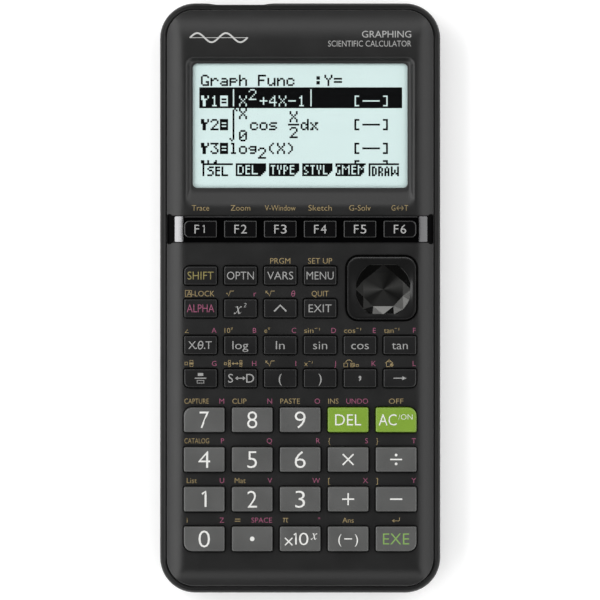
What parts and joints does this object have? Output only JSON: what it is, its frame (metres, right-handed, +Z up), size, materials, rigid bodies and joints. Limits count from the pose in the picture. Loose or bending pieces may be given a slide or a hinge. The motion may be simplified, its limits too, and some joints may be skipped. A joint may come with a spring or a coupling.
{
  "type": "graphing calculator",
  "caption": "Pocket graphing calculator with a dot-matrix display, rows of push keys, a four-way pad, end sockets and a hinged battery cover in the back.",
  "frame": {"origin": "centre of the calculator's footprint, on the table that its feet rest on", "axes": "+Z up out of the key face, +Y towards the display end, +X to the right of someone reading it"},
  "size_m": [0.0832, 0.175, 0.0186],
  "materials": {
    "front_shell": "satin black moulded plastic",
    "rear_shell": "satin dark grey moulded plastic",
    "cover": "satin dark grey moulded plastic",
    "window": "clear polished plastic",
    "display": "pale green reflective display",
    "bar": "gloss black",
    "function_key": "gloss black",
    "black_key": "satin black",
    "grey_key": "satin mid grey",
    "green_key": "satin leaf green",
    "pad": "black with a bright facet-cut disc",
    "pivot": "natural nylon",
    "mat": "matte silicone",
    "board": "green solder mask",
    "sockets": "tinned steel and black plastic",
    "cells": "foil-wrapped cells",
    "contacts": "nickel-plated spring steel",
    "screws": "zinc-plated steel"
  },
  "bodies": {
    "case": {"rear_case": "rear_shell", "front_case": "front_shell", "display_window": "window", "lcd_module": "display", "function_bar": "bar", "key_mat": "mat", "circuit_board": "board", "port_sockets": "sockets", "batteries": "cells", "battery_contacts": "contacts", "case_screws": "screws"},
    "battery_cover": {"battery_cover": "cover"},
    "dpad_pivot": {"dpad_pivot": "pivot"},
    "dpad_cap": {"dpad_cap": "pad"},
    "key_f1": {"key_f1": "function_key"},
    "key_f2": {"key_f2": "function_key"},
    "key_f3": {"key_f3": "function_key"},
    "key_f4": {"key_f4": "function_key"},
    "key_f5": {"key_f5": "function_key"},
    "key_f6": {"key_f6": "function_key"},
    "key_shift": {"key_shift": "black_key"},
    "key_optn": {"key_optn": "black_key"},
    "key_vars": {"key_vars": "black_key"},
    "key_menu": {"key_menu": "black_key"},
    "key_alpha": {"key_alpha": "black_key"},
    "key_square": {"key_square": "black_key"},
    "key_power": {"key_power": "black_key"},
    "key_exit": {"key_exit": "black_key"},
    "key_xtheta": {"key_xtheta": "black_key"},
    "key_log": {"key_log": "black_key"},
    "key_ln": {"key_ln": "black_key"},
    "key_sin": {"key_sin": "black_key"},
    "key_cos": {"key_cos": "black_key"},
    "key_tan": {"key_tan": "black_key"},
    "key_fraction": {"key_fraction": "black_key"},
    "key_convert": {"key_convert": "black_key"},
    "key_paren_open": {"key_paren_open": "black_key"},
    "key_paren_close": {"key_paren_close": "black_key"},
    "key_comma": {"key_comma": "black_key"},
    "key_arrow": {"key_arrow": "black_key"},
    "key_7": {"key_7": "grey_key"},
    "key_8": {"key_8": "grey_key"},
    "key_9": {"key_9": "grey_key"},
    "key_del": {"key_del": "green_key"},
    "key_ac": {"key_ac": "green_key"},
    "key_4": {"key_4": "grey_key"},
    "key_5": {"key_5": "grey_key"},
    "key_6": {"key_6": "grey_key"},
    "key_times": {"key_times": "grey_key"},
    "key_divide": {"key_divide": "grey_key"},
    "key_1": {"key_1": "grey_key"},
    "key_2": {"key_2": "grey_key"},
    "key_3": {"key_3": "grey_key"},
    "key_plus": {"key_plus": "grey_key"},
    "key_minus": {"key_minus": "grey_key"},
    "key_0": {"key_0": "grey_key"},
    "key_dot": {"key_dot": "grey_key"},
    "key_exp": {"key_exp": "grey_key"},
    "key_negate": {"key_negate": "grey_key"},
    "key_exe": {"key_exe": "grey_key"}
  },
  "joints": [
    {"name": "battery_cover_open", "type": "hinge", "parent": "case", "child": "battery_cover", "pos_m": [0, 0.0253, 0.0004], "axis": [-1, 0, 0], "range_deg": [0, 80]},
    {"name": "dpad_up_down", "type": "hinge", "parent": "case", "child": "dpad_pivot", "pos_m": [0.0241, 0.0029, 0.012], "axis": [1, 0, 0], "range_deg": [-3, 3], "stiffness_Nm_per_rad": 0.1},
    {"name": "dpad_left_right", "type": "hinge", "parent": "dpad_pivot", "child": "dpad_cap", "pos_m": [0.0241, 0.0029, 0.012], "axis": [0, 1, 0], "range_deg": [-3, 3], "stiffness_Nm_per_rad": 0.1},
    {"name": "key_f1_press", "type": "slide", "parent": "case", "child": "key_f1", "axis": [0, 0, -1], "range_m": [0, 0.0007], "stiffness_N_per_m": 800, "springref_m": -0.0002},
    {"name": "key_f2_press", "type": "slide", "parent": "case", "child": "key_f2", "axis": [0, 0, -1], "range_m": [0, 0.0007], "stiffness_N_per_m": 800, "springref_m": -0.0002},
    {"name": "key_f3_press", "type": "slide", "parent": "case", "child": "key_f3", "axis": [0, 0, -1], "range_m": [0, 0.0007], "stiffness_N_per_m": 800, "springref_m": -0.0002},
    {"name": "key_f4_press", "type": "slide", "parent": "case", "child": "key_f4", "axis": [0, 0, -1], "range_m": [0, 0.0007], "stiffness_N_per_m": 800, "springref_m": -0.0002},
    {"name": "key_f5_press", "type": "slide", "parent": "case", "child": "key_f5", "axis": [0, 0, -1], "range_m": [0, 0.0007], "stiffness_N_per_m": 800, "springref_m": -0.0002},
    {"name": "key_f6_press", "type": "slide", "parent": "case", "child": "key_f6", "axis": [0, 0, -1], "range_m": [0, 0.0007], "stiffness_N_per_m": 800, "springref_m": -0.0002},
    {"name": "key_shift_press", "type": "slide", "parent": "case", "child": "key_shift", "axis": [0, 0, -1], "range_m": [0, 0.0008], "stiffness_N_per_m": 800, "springref_m": -0.0002},
    {"name": "key_optn_press", "type": "slide", "parent": "case", "child": "key_optn", "axis": [0, 0, -1], "range_m": [0, 0.0008], "stiffness_N_per_m": 800, "springref_m": -0.0002},
    {"name": "key_vars_press", "type": "slide", "parent": "case", "child": "key_vars", "axis": [0, 0, -1], "range_m": [0, 0.0008], "stiffness_N_per_m": 800, "springref_m": -0.0002},
    {"name": "key_menu_press", "type": "slide", "parent": "case", "child": "key_menu", "axis": [0, 0, -1], "range_m": [0, 0.0008], "stiffness_N_per_m": 800, "springref_m": -0.0002},
    {"name": "key_alpha_press", "type": "slide", "parent": "case", "child": "key_alpha", "axis": [0, 0, -1], "range_m": [0, 0.0008], "stiffness_N_per_m": 800, "springref_m": -0.0002},
    {"name": "key_square_press", "type": "slide", "parent": "case", "child": "key_square", "axis": [0, 0, -1], "range_m": [0, 0.0008], "stiffness_N_per_m": 800, "springref_m": -0.0002},
    {"name": "key_power_press", "type": "slide", "parent": "case", "child": "key_power", "axis": [0, 0, -1], "range_m": [0, 0.0008], "stiffness_N_per_m": 800, "springref_m": -0.0002},
    {"name": "key_exit_press", "type": "slide", "parent": "case", "child": "key_exit", "axis": [0, 0, -1], "range_m": [0, 0.0008], "stiffness_N_per_m": 800, "springref_m": -0.0002},
    {"name": "key_xtheta_press", "type": "slide", "parent": "case", "child": "key_xtheta", "axis": [0, 0, -1], "range_m": [0, 0.0008], "stiffness_N_per_m": 800, "springref_m": -0.0002},
    {"name": "key_log_press", "type": "slide", "parent": "case", "child": "key_log", "axis": [0, 0, -1], "range_m": [0, 0.0008], "stiffness_N_per_m": 800, "springref_m": -0.0002},
    {"name": "key_ln_press", "type": "slide", "parent": "case", "child": "key_ln", "axis": [0, 0, -1], "range_m": [0, 0.0008], "stiffness_N_per_m": 800, "springref_m": -0.0002},
    {"name": "key_sin_press", "type": "slide", "parent": "case", "child": "key_sin", "axis": [0, 0, -1], "range_m": [0, 0.0008], "stiffness_N_per_m": 800, "springref_m": -0.0002},
    {"name": "key_cos_press", "type": "slide", "parent": "case", "child": "key_cos", "axis": [0, 0, -1], "range_m": [0, 0.0008], "stiffness_N_per_m": 800, "springref_m": -0.0002},
    {"name": "key_tan_press", "type": "slide", "parent": "case", "child": "key_tan", "axis": [0, 0, -1], "range_m": [0, 0.0008], "stiffness_N_per_m": 800, "springref_m": -0.0002},
    {"name": "key_fraction_press", "type": "slide", "parent": "case", "child": "key_fraction", "axis": [0, 0, -1], "range_m": [0, 0.0008], "stiffness_N_per_m": 800, "springref_m": -0.0002},
    {"name": "key_convert_press", "type": "slide", "parent": "case", "child": "key_convert", "axis": [0, 0, -1], "range_m": [0, 0.0008], "stiffness_N_per_m": 800, "springref_m": -0.0002},
    {"name": "key_paren_open_press", "type": "slide", "parent": "case", "child": "key_paren_open", "axis": [0, 0, -1], "range_m": [0, 0.0008], "stiffness_N_per_m": 800, "springref_m": -0.0002},
    {"name": "key_paren_close_press", "type": "slide", "parent": "case", "child": "key_paren_close", "axis": [0, 0, -1], "range_m": [0, 0.0008], "stiffness_N_per_m": 800, "springref_m": -0.0002},
    {"name": "key_comma_press", "type": "slide", "parent": "case", "child": "key_comma", "axis": [0, 0, -1], "range_m": [0, 0.0008], "stiffness_N_per_m": 800, "springref_m": -0.0002},
    {"name": "key_arrow_press", "type": "slide", "parent": "case", "child": "key_arrow", "axis": [0, 0, -1], "range_m": [0, 0.0008], "stiffness_N_per_m": 800, "springref_m": -0.0002},
    {"name": "key_7_press", "type": "slide", "parent": "case", "child": "key_7", "axis": [0, 0, -1], "range_m": [0, 0.0009], "stiffness_N_per_m": 800, "springref_m": -0.0002},
    {"name": "key_8_press", "type": "slide", "parent": "case", "child": "key_8", "axis": [0, 0, -1], "range_m": [0, 0.0009], "stiffness_N_per_m": 800, "springref_m": -0.0002},
    {"name": "key_9_press", "type": "slide", "parent": "case", "child": "key_9", "axis": [0, 0, -1], "range_m": [0, 0.0009], "stiffness_N_per_m": 800, "springref_m": -0.0002},
    {"name": "key_del_press", "type": "slide", "parent": "case", "child": "key_del", "axis": [0, 0, -1], "range_m": [0, 0.0009], "stiffness_N_per_m": 800, "springref_m": -0.0002},
    {"name": "key_ac_press", "type": "slide", "parent": "case", "child": "key_ac", "axis": [0, 0, -1], "range_m": [0, 0.0009], "stiffness_N_per_m": 800, "springref_m": -0.0002},
    {"name": "key_4_press", "type": "slide", "parent": "case", "child": "key_4", "axis": [0, 0, -1], "range_m": [0, 0.0009], "stiffness_N_per_m": 800, "springref_m": -0.0002},
    {"name": "key_5_press", "type": "slide", "parent": "case", "child": "key_5", "axis": [0, 0, -1], "range_m": [0, 0.0009], "stiffness_N_per_m": 800, "springref_m": -0.0002},
    {"name": "key_6_press", "type": "slide", "parent": "case", "child": "key_6", "axis": [0, 0, -1], "range_m": [0, 0.0009], "stiffness_N_per_m": 800, "springref_m": -0.0002},
    {"name": "key_times_press", "type": "slide", "parent": "case", "child": "key_times", "axis": [0, 0, -1], "range_m": [0, 0.0009], "stiffness_N_per_m": 800, "springref_m": -0.0002},
    {"name": "key_divide_press", "type": "slide", "parent": "case", "child": "key_divide", "axis": [0, 0, -1], "range_m": [0, 0.0009], "stiffness_N_per_m": 800, "springref_m": -0.0002},
    {"name": "key_1_press", "type": "slide", "parent": "case", "child": "key_1", "axis": [0, 0, -1], "range_m": [0, 0.0009], "stiffness_N_per_m": 800, "springref_m": -0.0002},
    {"name": "key_2_press", "type": "slide", "parent": "case", "child": "key_2", "axis": [0, 0, -1], "range_m": [0, 0.0009], "stiffness_N_per_m": 800, "springref_m": -0.0002},
    {"name": "key_3_press", "type": "slide", "parent": "case", "child": "key_3", "axis": [0, 0, -1], "range_m": [0, 0.0009], "stiffness_N_per_m": 800, "springref_m": -0.0002},
    {"name": "key_plus_press", "type": "slide", "parent": "case", "child": "key_plus", "axis": [0, 0, -1], "range_m": [0, 0.0009], "stiffness_N_per_m": 800, "springref_m": -0.0002},
    {"name": "key_minus_press", "type": "slide", "parent": "case", "child": "key_minus", "axis": [0, 0, -1], "range_m": [0, 0.0009], "stiffness_N_per_m": 800, "springref_m": -0.0002},
    {"name": "key_0_press", "type": "slide", "parent": "case", "child": "key_0", "axis": [0, 0, -1], "range_m": [0, 0.0009], "stiffness_N_per_m": 800, "springref_m": -0.0002},
    {"name": "key_dot_press", "type": "slide", "parent": "case", "child": "key_dot", "axis": [0, 0, -1], "range_m": [0, 0.0009], "stiffness_N_per_m": 800, "springref_m": -0.0002},
    {"name": "key_exp_press", "type": "slide", "parent": "case", "child": "key_exp", "axis": [0, 0, -1], "range_m": [0, 0.0009], "stiffness_N_per_m": 800, "springref_m": -0.0002},
    {"name": "key_negate_press", "type": "slide", "parent": "case", "child": "key_negate", "axis": [0, 0, -1], "range_m": [0, 0.0009], "stiffness_N_per_m": 800, "springref_m": -0.0002},
    {"name": "key_exe_press", "type": "slide", "parent": "case", "child": "key_exe", "axis": [0, 0, -1], "range_m": [0, 0.0009], "stiffness_N_per_m": 800, "springref_m": -0.0002}
  ]
}
